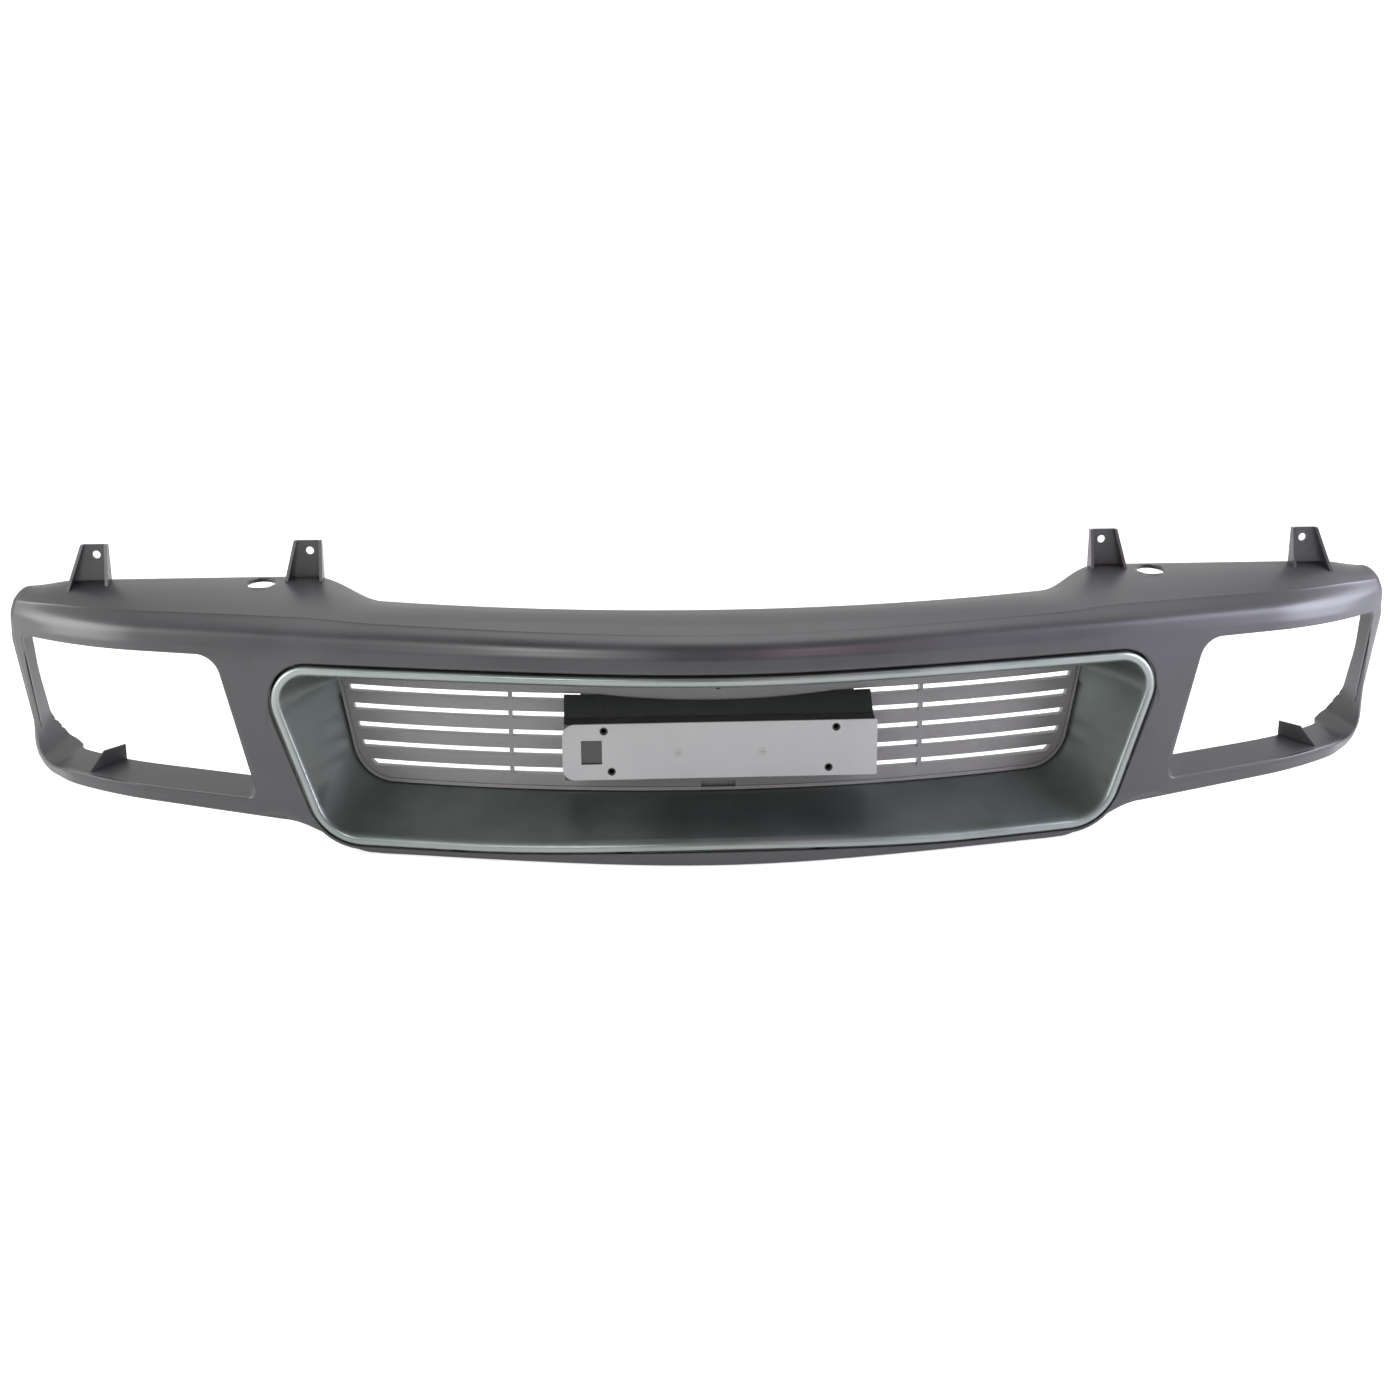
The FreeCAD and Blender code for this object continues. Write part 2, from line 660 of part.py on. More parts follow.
def tapping_screw(x, y_tip, y_seat, z):
    """Pan-head screw entered from behind: shank to y_tip, head at y_seat."""
    shank_r, head_r, head_t = TAP_SCREW
    head = bar(x, y_seat, y_seat + head_t, z, head_r)
    rims = [e for e in head.Edges
            if e.BoundBox.YLength < 0.01 and e.BoundBox.YMin > y_seat + 1]
    head = head.makeFillet(1.1, rims)
    shank = bar(x, y_tip, y_seat + 1, z, shank_r)
    top = y_seat + head_t
    cross = box(x - 2.4, x + 2.4, top - 1.3, top + 1, z - 0.5, z + 0.5)
    cross = cross.fuse(box(x - 0.5, x + 0.5, top - 1.3, top + 1, z - 2.4, z + 2.4))
    return head.fuse(shank).cut(cross)


def bezel_screws():
    out = []
    for x, z in screw_places():
        seat = front_y(x) + GRILLE_FLANGE + 1.85
        out.append(tapping_screw(x, seat - 14, seat, z))
    return out


def insert_screws():
    z = INSERT[0][1] + TAB_RISE
    out = []
    for x in TAB_X:
        seat = insert_y(x) + INSERT_DEPTH + 3.05
        out.append(tapping_screw(x, seat - 11, seat, z))
    return out


def box_screws():
    out = []
    for x, z in box_screw_places():
        seat = insert_y(x) + BLADE_RECESS + BLADE_DEPTH + 0.9
        out.append(tapping_screw(x, seat - 24, seat, z))
    return out


PIECES = {
    "header_panel": lambda: [header_panel()],
    "grille_bezel": lambda: [grille_bezel()],
    "louvre_insert": lambda: [louvre_insert()],
    "plate_box": lambda: [plate_box()],
    "mounting_plate": lambda: [mounting_plate()],
    "plate_screws": plate_screws,
    "plate_screw_nuts": plate_screw_nuts,
    "plate_nut_inserts": plate_nut_inserts,
    "bezel_screws": bezel_screws,
    "insert_screws": insert_screws,
    "box_screws": box_screws,
}


def save(name, shapes):
    body = shapes[0] if len(shapes) == 1 else Part.makeCompound(shapes)
    body.translate(DATUM * -1)
    body.exportStep("parts/" + name + ".step")
    size = body.BoundBox
    print(name, "solids", len(body.Solids), "valid", body.isValid(),
          "volume cm3", round(body.Volume / 1000, 1),
          "size", [round(v, 1) for v in (size.XLength, size.YLength, size.ZLength)])


os.makedirs("parts", exist_ok=True)
for piece_name, make in PIECES.items():
    save(piece_name, make())
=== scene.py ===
import json
import math

import bmesh
import bpy
import numpy as np
from mathutils import Matrix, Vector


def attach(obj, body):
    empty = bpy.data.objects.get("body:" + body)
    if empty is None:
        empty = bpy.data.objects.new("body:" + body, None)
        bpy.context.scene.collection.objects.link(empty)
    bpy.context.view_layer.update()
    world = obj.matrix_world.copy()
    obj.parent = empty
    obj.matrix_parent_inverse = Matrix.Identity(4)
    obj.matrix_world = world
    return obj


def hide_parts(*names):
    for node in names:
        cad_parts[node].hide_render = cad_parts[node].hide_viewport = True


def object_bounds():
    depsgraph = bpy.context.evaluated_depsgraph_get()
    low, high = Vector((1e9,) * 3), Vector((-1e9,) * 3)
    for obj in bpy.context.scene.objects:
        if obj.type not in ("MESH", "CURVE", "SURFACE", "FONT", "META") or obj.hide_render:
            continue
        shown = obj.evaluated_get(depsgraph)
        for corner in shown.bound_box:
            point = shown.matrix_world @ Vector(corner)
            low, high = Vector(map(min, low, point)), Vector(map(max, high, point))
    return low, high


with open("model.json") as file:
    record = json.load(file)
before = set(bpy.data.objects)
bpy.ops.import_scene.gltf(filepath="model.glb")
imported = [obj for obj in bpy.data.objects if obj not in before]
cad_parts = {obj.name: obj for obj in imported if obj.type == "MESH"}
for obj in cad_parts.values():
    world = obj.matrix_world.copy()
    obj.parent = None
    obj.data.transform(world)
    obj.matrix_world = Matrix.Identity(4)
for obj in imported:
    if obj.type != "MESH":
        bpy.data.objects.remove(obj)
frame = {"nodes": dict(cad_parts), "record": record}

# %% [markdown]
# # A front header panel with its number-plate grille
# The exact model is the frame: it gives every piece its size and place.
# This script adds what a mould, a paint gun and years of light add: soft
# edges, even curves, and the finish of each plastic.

cad_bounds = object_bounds()
nodes = frame["nodes"]
DATUM = np.array([0.0, 57.0, 148.0])
MM = 0.001
print("pieces in the exact model:", len(nodes))


def smooth(value, start, end):
    """S-shaped cubic: 3t^2 - 2t^3, with t the share of the way to end."""
    t = np.clip((value - start) / (end - start), 0.0, 1.0)
    return t * t * (3 - 2 * t)


def mesh_object(name, points, faces):
    """A mesh object from points in mm about the grille centre and quads."""
    mesh = bpy.data.meshes.new(name)
    flat = ((np.asarray(points) - DATUM) * MM).reshape(-1, 3)
    mesh.from_pydata(flat.tolist(), [], np.asarray(faces).reshape(-1, 4).tolist())
    mesh.validate()
    mesh.polygons.foreach_set("use_smooth", [True] * len(mesh.polygons))
    obj = bpy.data.objects.new(name, mesh)
    bpy.context.scene.collection.objects.link(obj)
    return obj


def grid_faces(rows, cols, wrap_rows=False, wrap_cols=False, start=0):
    """Quads of a rows x cols grid; either direction may close on itself."""
    i = np.arange(rows if wrap_rows else rows - 1)
    j = np.arange(cols if wrap_cols else cols - 1)
    i, j = np.meshgrid(i, j, indexing="ij")
    i2, j2 = (i + 1) % rows, (j + 1) % cols
    quads = np.stack([i * cols + j, i * cols + j2,
                      i2 * cols + j2, i2 * cols + j], -1)
    return quads.reshape(-1, 4) + start


# %% [markdown]
# ## Colour and material tools
# Paint makers name colours in sRGB hex. The renderer works
# with linear light, so one function converts every colour.

# %% Colour and node helpers
def hex_colour(code):
    """Linear RGBA from an sRGB hex code: ((c + 0.055) / 1.055) ^ 2.4."""
    srgb = [int(code[i:i + 2], 16) / 255 for i in (0, 2, 4)]
    linear = [c / 12.92 if c <= 0.04045 else ((c + 0.055) / 1.055) ** 2.4
              for c in srgb]
    return tuple(linear) + (1.0,)


def add_node(tree, kind, settings=None, links=None):
    """Adds one shader node, sets its values and links its inputs."""
    item = tree.nodes.new(kind)
    for key, value in (settings or {}).items():
        if key in item.inputs:
            item.inputs[key].default_value = value
        else:
            setattr(item, key, value)
    for key, source in (links or {}).items():
        tree.links.new(source, item.inputs[key])
    return item


# %% [markdown]
# ## One recipe for every moulded or painted part
# Plastic is never one flat colour. Film thickness drifts over a hand's
# breadth, and the tool leaves a fine grain. Two noises give both, so one
# function serves every finish and only its numbers change.

# %% The plastic recipe
DRIFT_MM = 1000 / 9         # one swell of colour: nine to the metre
DRIFT_BAND = (0.32, 0.70)   # part of the noise where the shade changes
DRIFT_ROUGH = (0.3, 0.7)    # part of the noise where the gloss changes
WEAR = 0.06                 # how far the drift moves the roughness
GRAIN_ROUGH = 0.06          # how far the grain moves the roughness
RELIEF_MM = 0.2             # height of the grain at full strength
PLASTIC_IOR = 1.5           # ABS, PP and nylon; also the shader's default


def plastic(name, colours, roughness, grain_mm, bump, coat=0.0,
            metallic=0.0, coat_rough=0.12):
    """Painted or moulded plastic.

    Two noises do the work: a broad one drifts the colour between two
    shades, as uneven film thickness does; a fine one is the surface grain,
    and it moves the roughness and the bump together.
    """
    material = bpy.data.materials.new(name)
    material.use_nodes = True
    tree = material.node_tree
    tree.nodes.clear()
    coords = add_node(tree, "ShaderNodeTexCoord")
    broad = add_node(tree, "ShaderNodeTexNoise",
                     {"Scale": 1.0 / (DRIFT_MM * MM), "Detail": 4.0,
                      "Roughness": 0.55},
                     {"Vector": coords.outputs["Object"]})
    fine = add_node(tree, "ShaderNodeTexNoise",
                    {"Scale": 1.0 / (grain_mm * MM), "Detail": 3.0},
                    {"Vector": coords.outputs["Object"]})
    shade = add_node(tree, "ShaderNodeValToRGB",
                     links={"Fac": broad.outputs["Fac"]})
    for stop, position, colour in zip(shade.color_ramp.elements,
                                      DRIFT_BAND, colours):
        stop.position = position
        stop.color = hex_colour(colour)
    rough_broad = add_node(tree, "ShaderNodeMapRange",
                           {"From Min": DRIFT_ROUGH[0],
                            "From Max": DRIFT_ROUGH[1],
                            "To Min": roughness - WEAR,
                            "To Max": roughness + WEAR},
                           {"Value": broad.outputs["Fac"]})
    rough_fine = add_node(tree, "ShaderNodeMath",
                          {"operation": "MULTIPLY_ADD"},
                          {0: fine.outputs["Fac"],
                           2: rough_broad.outputs["Result"]})
    rough_fine.inputs[1].default_value = GRAIN_ROUGH
    relief = add_node(tree, "ShaderNodeBump",
                      {"Strength": bump, "Distance": RELIEF_MM * MM},
                      {"Height": fine.outputs["Fac"]})
    shader = add_node(tree, "ShaderNodeBsdfPrincipled",
                      {"IOR": PLASTIC_IOR, "Metallic": metallic,
                       "Coat Weight": coat, "Coat Roughness": coat_rough},
                      {"Base Color": shade.outputs["Color"],
                       "Roughness": rough_fine.outputs["Value"],
                       "Normal": relief.outputs["Normal"]})
    add_node(tree, "ShaderNodeOutputMaterial",
             links={"Surface": shader.outputs["BSDF"]})
    return material


# %% [markdown]
# ## The finishes
# - Header panel: polypropylene or ABS, sprayed with grey primer. The film is
#   thin and satin: broad soft highlights, no mirror image.
# - Bezel: ABS with silver-grey lacquer. Aluminium flake gives it a metallic
#   part, clear lacquer gives it the sharper reflection.
# - Louvre insert: the same mould family in flat grey.
# - Plate box: black ABS straight from a polished mould.
# - Mounting plate: light warm grey, left matt.
# - Screws and nuts: zinc-plated steel. Nut inserts: black nylon.

# %% Materials
FINISH = {
    "panel": plastic("primed_PP", ("252628", "2f3032"), 0.40, 1.2, 0.10,
                     coat=0.4, coat_rough=0.30),
    "bezel": plastic("gunmetal_lacquer_ABS", ("7d8582", "8d9491"), 0.38, 0.8,
                     0.05, coat=0.3, metallic=0.95, coat_rough=0.16),
    "louvre": plastic("grey_ABS", ("6c6c6b", "787877"), 0.42, 1.0, 0.10,
                      coat=0.1),
    "box": plastic("black_ABS_gloss", ("161616", "1e1e1d"), 0.20, 1.5, 0.05,
                   coat=0.3),
    "plate": plastic("light_grey_PP_matt", ("8f9190", "999b99"), 0.62, 0.9,
                     0.12),
    "zinc": plastic("zinc_plated_steel", ("8c8c88", "9a9a95"), 0.36, 0.6, 0.08,
                    metallic=1.0),
    "nylon": plastic("black_nylon", ("101010", "191919"), 0.5, 0.8, 0.1),
}
SLOT_OF = {row["node"]: row["material_slot"]
           for row in frame["record"]["subparts"]}
CAD_CREASE = math.radians(32)


def finish_with(obj, slot):
    """One material on the whole object."""
    obj.data.materials.clear()
    obj.data.materials.append(FINISH[slot])


for node_name, obj in nodes.items():
    finish_with(obj, SLOT_OF[node_name])
    mesh = obj.data
    mesh.polygons.foreach_set("use_smooth", [True] * len(mesh.polygons))
    mesh.set_sharp_from_angle(angle=CAD_CREASE)
print("finishes:", ", ".join(m.name for m in FINISH.values()))

# %% [markdown]
# ## The grille bezel
# On the real object this is a deep funnel, moulded in one shot: a rounded lip
# in front, a wall that falls back to the louvres, a short collar round them.
# Every section of it is the same open profile carried round the opening, so
# it is built as a stack of closed loops. The loops are joined row by row.
# A mould maker would draw it the same way: two outlines and a profile.

# %% Curves the panel and the bezel share
RING = ((445.0, 59.0, 37.0), (385.0, -117.0, 52.0))
RING_ARCH, ARCH_HALF, ARCH_FADE = 8.0, 250, (60, 110)
INSERT = ((377.0, 34.0, 8.0), (356.0, -76.0, 40.0))
INSERT_BOW_R, INSERT_FRONT = 1060.0, -62.0
PANEL_HALF, NOSE_START = 705.0, 560.0
NOSE_Y, NOSE_SLOPE, NOSE_BEND, NOSE_CURL = -145.0, 0.27, 150.0, 0.00213


def front_y(x):
    """Plan of the front: a hyperbola whose ends curl back as a parabola.

    NOSE_Y + slope (hypot(x, bend) - bend), plus the curl times the square
    of the distance past NOSE_START.
    """
    curl = np.maximum(0.0, np.abs(x) - NOSE_START)
    return (NOSE_Y + NOSE_SLOPE * (np.hypot(x, NOSE_BEND) - NOSE_BEND)
            + NOSE_CURL * curl ** 2)


def insert_y(x):
    """Plan of the louvres: a circular arc, front + R - sqrt(R^2 - x^2)."""
    return INSERT_FRONT + INSERT_BOW_R - np.sqrt(INSERT_BOW_R ** 2 - x * x)


print("front at the middle and the end, mm:",
      front_y(np.array([0.0, PANEL_HALF])).round(1))

# %% [markdown]
# ## Outlines with rounded corners
# The mouth and the ring are both trapezoids with round corners. Growing an
# outline moves each point straight out from its edge, so a flat stays flat
# and an arc keeps its centre, as a cutter follows a pattern.

# %% Outlines of the mouth and the ring
def outline(corners, grow, arc=26, side=22, flat=50):
    """Closed rounded trapezoid as (n, 2) rows of x, z.

    Each corner is an arc about a centre one radius inside both edges. The
    right half runs from the middle of the top; the left half mirrors it.
    """
    (top_x, top_z, top_r), (low_x, low_z, low_r) = corners
    tilt = math.atan2(top_x - low_x, top_z - low_z)
    sine, cosine = math.sin(tilt), math.cos(tilt)
    top_c = np.array([top_x - top_r * (1 + sine) / cosine, top_z - top_r])
    low_c = np.array([low_x - low_r * (1 - sine) / cosine, low_z + low_r])
    turn_a = np.linspace(math.pi / 2, -tilt, arc)
    turn_b = np.linspace(-tilt, -math.pi / 2, arc)
    arc_a = np.stack([np.cos(turn_a), np.sin(turn_a)], 1)
    arc_b = np.stack([np.cos(turn_b), np.sin(turn_b)], 1)
    t_flat = np.sin(np.linspace(0, math.pi / 2, flat, endpoint=False))[:, None]
    t_side = np.linspace(0, 1, side + 2)[1:-1, None]
    start_a, end_a = top_c + top_r * arc_a[0], top_c + top_r * arc_a[-1]
    start_b, end_b = low_c + low_r * arc_b[0], low_c + low_r * arc_b[-1]
    middle_top = np.array([0.0, top_z])
    middle_low = np.array([0.0, low_z])
    points = np.concatenate([
        middle_top + (start_a - middle_top) * t_flat,
        top_c + top_r * arc_a,
        end_a + (start_b - end_a) * t_side,
        low_c + low_r * arc_b,
        middle_low + (end_b - middle_low) * t_flat[::-1]])
    away = np.concatenate([
        np.tile([0.0, 1.0], (flat, 1)), arc_a,
        np.tile(arc_a[-1], (side, 1)), arc_b, np.tile([0.0, -1.0], (flat, 1))])
    half = points + grow * away
    return np.concatenate([half, half[-2:0:-1] * [-1.0, 1.0]])


def ring_outline(grow):
    """Bezel outline; its bottom edge arches up by RING_ARCH at the centre."""
    flat = outline(RING, grow)
    x, z = flat[:, 0], flat[:, 1]
    arch = (RING_ARCH * (1 - smooth(np.abs(x), 0, ARCH_HALF))
            * smooth(-z, *ARCH_FADE))
    return np.stack([x, z + arch], 1)


print("points in an outline:", len(ring_outline(0.0)))


# %% Curves through points and loops in space
def through(points, steps):
    """Catmull-Rom curve through the first axis of points, steps per span."""
    p = np.concatenate([2 * points[:1] - points[1:2], points,
                        2 * points[-1:] - points[-2:-1]])
    t = np.arange(steps) / steps
    t = t.reshape((1, -1) + (1,) * (points.ndim - 1))
    a, b, c, d = p[:-3, None], p[1:-2, None], p[2:-1, None], p[3:, None]
    curve = 0.5 * (2 * b + (c - a) * t + (2 * a - 5 * b + 4 * c - d) * t ** 2
                   + (3 * b - a - 3 * c + d) * t ** 3)
    return np.concatenate([curve.reshape((-1,) + points.shape[1:]), points[-1:]])


def loop_at(flat, plan, back):
    """3-D loop: outline points set back from a plan curve."""
    x, z = flat[:, 0], flat[:, 1]
    return np.stack([x, plan(x) + back, z], 1)


# %% [markdown]
# ## The bezel's section
# Each pair below is how far out and how far back a point of the section
# lies from the outline. The lip is rolled over in front; behind, the wall
# and the collar come back to it, so the sheet closes on itself.

# %% Bezel surface
LIP = np.array([(0, 14), (0, 7), (0, 0.6), (-1.4, -2.3), (-4.2, -3),
                (-7.6, -1.9), (-10, 2.0)], float)
UNDER = np.array([(-9.0, 5.5), (-6.5, 1.6), (-3.4, 1.6), (-2.5, 14)], float)
COLLAR, COLLAR_EDGE = 14.0, 2.0
WALL = 2.5
INSERT_GAP = 1.0
BOWL = 5.0
LIP_STEPS, WALL_STEPS = 4, 14
BEZEL_CREASE = math.radians(40)


def wall_rows(start, end, steps):
    """Rows from one loop to the next, bowed out by 4 t (1 - t) of BOWL."""
    t = np.linspace(0, 1, steps + 2)[1:-1, None, None]
    away = start - start.mean(0)
    away[:, 1] = 0
    away = away / np.linalg.norm(away, axis=1, keepdims=True)
    return start + (end - start) * t + BOWL * 4 * t * (1 - t) * away


lip_rows = np.stack([loop_at(ring_outline(g), front_y, b)
                     for g, b in through(LIP, LIP_STEPS)])
mouth = loop_at(outline(INSERT, INSERT_GAP), insert_y, 0.0)
collar_rows = np.stack([loop_at(outline(INSERT, g), insert_y, b) for g, b in
                        ((INSERT_GAP, 0.0), (INSERT_GAP, COLLAR),
                         (INSERT_GAP + WALL, COLLAR),
                         (INSERT_GAP + WALL, COLLAR_EDGE))])
under_rows = np.stack([loop_at(ring_outline(g), front_y, b) for g, b in UNDER])
bezel_rows = np.concatenate([
    lip_rows, wall_rows(lip_rows[-1], mouth, WALL_STEPS), collar_rows,
    wall_rows(collar_rows[-1], under_rows[0], WALL_STEPS), under_rows])
bezel = mesh_object("grille_bezel_surface", bezel_rows,
                    grid_faces(*bezel_rows.shape[:2], wrap_rows=True,
                               wrap_cols=True)[:, ::-1])
print("bezel loops:", bezel_rows.shape[:2])

# %% [markdown]
# ## Screw bosses
# Each screw bites into a plain round post. All posts are one piece of the
# same moulding, so one mesh holds them: a closed cylinder copied to every
# place by adding its circle to each centre.

# %% Where the bosses stand
FLANGE_DEPTH = 22.0
EDGE_INSET, FRONT_SINK, FLANGE_CLEAR = 5, 0.6, 1.6
TAB_RISE, TAB_SINK, TAB_REACH = 6, 2, 13.6
top_x = np.array([-330.0, -170, 0, 170, 330])
low_x = np.array([-255.0, -95, 95, 255])
tab_x = np.array([-300.0, -110, 110, 300])
low_z = (RING[1][1] + EDGE_INSET
         + RING_ARCH * (1 - smooth(np.abs(low_x), 0, ARCH_HALF)))
boss_x = np.concatenate([top_x, low_x, tab_x])
boss_z = np.concatenate([top_x * 0 + RING[0][1] - EDGE_INSET, low_z,
                         tab_x * 0 + INSERT[0][1] + TAB_RISE])
boss_start = np.concatenate([front_y(top_x) + FRONT_SINK,
                             front_y(low_x) + FRONT_SINK,
                             insert_y(tab_x) + TAB_SINK])
boss_end = np.concatenate([front_y(top_x) + FLANGE_DEPTH - FLANGE_CLEAR,
                           front_y(low_x) + FLANGE_DEPTH - FLANGE_CLEAR,
                           insert_y(tab_x) + TAB_REACH])
print("boss lengths, mm:", (boss_end - boss_start).round(1))

# %% Bosses behind the bezel
BOSS_R, BORE_R, BORE_SHARE, POLE_R = 4.2, 2.1, 0.4, 0.01
BOSS_SIDES = 28
turn = np.linspace(0, 2 * math.pi, BOSS_SIDES, endpoint=False)
profile = np.array([(POLE_R, 0), (BOSS_R, 0), (BOSS_R, 1), (BORE_R, 1),
                    (BORE_R, BORE_SHARE), (POLE_R, BORE_SHARE)])
radius = profile[:, 0][None, :, None]
share = profile[:, 1][None, :, None]
boss_points = np.stack(np.broadcast_arrays(
    boss_x[:, None, None] + radius * np.cos(turn),
    boss_start[:, None, None] + share * (boss_end - boss_start)[:, None, None],
    boss_z[:, None, None] + radius * np.sin(turn)), -1)
rows_each, cols_each = boss_points.shape[1:3]
boss_faces = np.concatenate([
    grid_faces(rows_each, cols_each, wrap_cols=True,
               start=i * rows_each * cols_each)
    for i in range(len(boss_x))])
bosses = mesh_object("grille_bezel_bosses", boss_points, boss_faces[:, ::-1])
for piece in (bezel, bosses):
    piece.data.materials.append(FINISH["bezel"])
    piece.data.set_sharp_from_angle(angle=BEZEL_CREASE)
    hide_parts("grille_bezel")
    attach(piece, "root")
print("bosses:", len(boss_x))

# %% [markdown]
# ## The paint film on the panel
# The panel is moulded, then sprayed. Its paint film is what the eye reads:
# one even skin whose highlights run on without a break. The film follows the
# panel's own rules (front curve, crease, rear edge), so it is laid as a grid
# of section curves. A column stands at every point of the three openings,
# to a tenth of a millimetre, so their edges follow the outlines closely.
# The two access holes are left out of the grid, face by face.

# %% Lower edge and end posts
LIP_Z, FACE_TOP_Z, BROW_Z = -126.0, 64.0, 75.5
LAMP = np.array([(484, 66, 24), (692, 69.5, 5), (683, -20, 60), (682.5, -60, 20),
                 (600, -67, 200), (520, -72.5, 200), (449, -77, 9)], float)
GRILLE_GAP = 2.5
ACCESS_HOLE = np.array([450.0, 36.0])
ACCESS_R = 14.5
FILM = 0.35
SILL_RISE, SILL_SPAN, SILL_SLOPE = 29, (335, 425), 0.086
FOOT_WIDE, FOOT_HIGH = 26, 30
POST_LEAN, POST_TOP, POST_LOW, POST_SPAN = 13.5, 64, -25, (640, 690)
POST_SWELL, SWELL_SPAN = 3, (25, 52)


def bottom_z(x):
    """Lower edge: level lip, S-bend, rising sill, elliptical foot."""
    z = (LIP_Z + SILL_RISE * smooth(x, *SILL_SPAN)
         + SILL_SLOPE * np.maximum(0, x - SILL_SPAN[1]))
    u = np.clip((x - PANEL_HALF + FOOT_WIDE) / FOOT_WIDE, 0, 1)
    return z + FOOT_HIGH * (1 - np.sqrt(1 - u ** 2))


def post_lean(x, z):
    """Inward lean of the end post, growing downwards, less a swell."""
    down = np.clip((POST_TOP - z) / (POST_TOP - POST_LOW), 0, 1)
    lean = POST_LEAN * down - POST_SWELL * smooth(-z, *SWELL_SPAN)
    return -lean * smooth(x, *POST_SPAN)


print("lower edge at the middle and the end, mm:",
      bottom_z(np.array([0.0, PANEL_HALF])).round(1))


# %% [markdown]
# ## The brow
# Seen from the side, the brow runs level from its rear edge to a crease,
# turns over a soft shoulder and drops to the face. Seven control points
# give that section, and each is a rule of x, so the brow changes evenly
# from the low middle to the high ends.

# %% Sections of the brow
STEP_SPAN, TIP_SPAN = (325, 405), (640, 705)
REAR_LAG, REAR_MIDDLE, REAR_BEND = 0.11, -80, 0.00062
REAR_SIDE, REAR_TIP = 55.4, 17
REAR_Z, REAR_RISE, REAR_DROP = 109, 12.3, 8.5
CREASE_BACK, CREASE_TIP_IN, CREASE_TIP_ON = 13, 2, 9
CREASE_Z, CREASE_RISE, CREASE_SPAN = 91.4, 7, (0, 600)
SHOULDER_BACK, SHOULDER_Z = 4, 81.0
ROOF_STATIONS, ROOF_CROWN = [0, 0.3, 0.6, 0.86], 3.5
TURN_IN, TURN_LIFT = (0.82, 0.1, 0.08), 1.5
TURN_OUT, TURN_PUSH = (0.45, 0.55), np.array([0, -2.5, 1.0])
EDGE_BACK = 1


def stacked(*parts):
    """Arrays of x, y and z joined along a last axis."""
    return np.stack(np.broadcast_arrays(*parts), -1)


def top_controls(x):
    """Section control points from the rear edge to just above the face.

    Four lie on the crowned roof, rear + (crease - rear) t + crown sin(pi t);
    two weighted means of rear, crease and brow turn the shoulder.
    """
    step, tip = smooth(x, *STEP_SPAN), smooth(x, *TIP_SPAN)
    face = front_y(x)
    rear_y = ((1 - step) * (REAR_MIDDLE + REAR_BEND * x * x)
              + step * REAR_SIDE + REAR_TIP * tip)
    rear = stacked(x - REAR_LAG * np.maximum(0, x - NOSE_START), rear_y,
                   REAR_Z + REAR_RISE * step - REAR_DROP * tip)
    crease = stacked(x - CREASE_TIP_IN * tip,
                     face + CREASE_BACK - CREASE_TIP_ON * tip,
                     CREASE_Z + CREASE_RISE * smooth(x, *CREASE_SPAN))
    brow = stacked(x, face + SHOULDER_BACK, SHOULDER_Z)
    up = np.array([0, 0, 1.0])
    t = np.array(ROOF_STATIONS)[:, None, None]
    back = rear + (crease - rear) * t + up * ROOF_CROWN * np.sin(math.pi * t)
    turn_in = (crease * TURN_IN[0] + rear * TURN_IN[1] + brow * TURN_IN[2]
               + up * TURN_LIFT)
    turn_out = crease * TURN_OUT[0] + brow * TURN_OUT[1] + TURN_PUSH
    edge = stacked(x, face + EDGE_BACK, BROW_Z)
    return np.concatenate([back, turn_in[None], turn_out[None], edge[None]])


print("control points in a section:", len(top_controls(np.zeros(1))))

# %% Sections of the face
FOLD_SHARE, FOLD_BACK = [0, 0.8, 0.93, 1], [0, 0, 0.6, 4]


def face_points(x, z):
    """Front face at station x and height z, its lowest edge turned back.

    The setback follows straight pieces between FOLD_SHARE and FOLD_BACK.
    """
    share = (FACE_TOP_Z - z) / (FACE_TOP_Z - bottom_z(x))
    back = np.interp(share, FOLD_SHARE, FOLD_BACK)
    back = np.where(z > FACE_TOP_Z,
                    (z - FACE_TOP_Z) / (BROW_Z - FACE_TOP_Z), back)
    return stacked(x + post_lean(x, z), front_y(x) + back, z)


print("setback of the lowest edge, mm:", FOLD_BACK[-1])


# %% Openings as outlines
def rounded(corners, arc=14):
    """Polygon with rounded corners: each arc touches both of its edges."""
    p, r = corners[:, :2], corners[:, 2:]
    before, after = np.roll(p, 1, 0) - p, np.roll(p, -1, 0) - p
    before /= np.linalg.norm(before, axis=1, keepdims=True)
    after /= np.linalg.norm(after, axis=1, keepdims=True)
    half = 0.5 * np.arccos((before * after).sum(1, keepdims=True))
    middle = before + after
    middle /= np.linalg.norm(middle, axis=1, keepdims=True)
    centre = p + middle * r / np.sin(half)
    first = p + before * r / np.tan(half) - centre
    last = p + after * r / np.tan(half) - centre
    a = np.arctan2(first[:, 1:], first[:, :1])
    sweep = np.arctan2(last[:, 1:], last[:, :1]) - a
    sweep = (sweep + math.pi) % (2 * math.pi) - math.pi
    a = a + sweep * np.linspace(0, 1, arc)
    return (centre[:, None] + r[:, None] * np.stack([np.cos(a), np.sin(a)], -1)
            ).reshape(-1, 2)


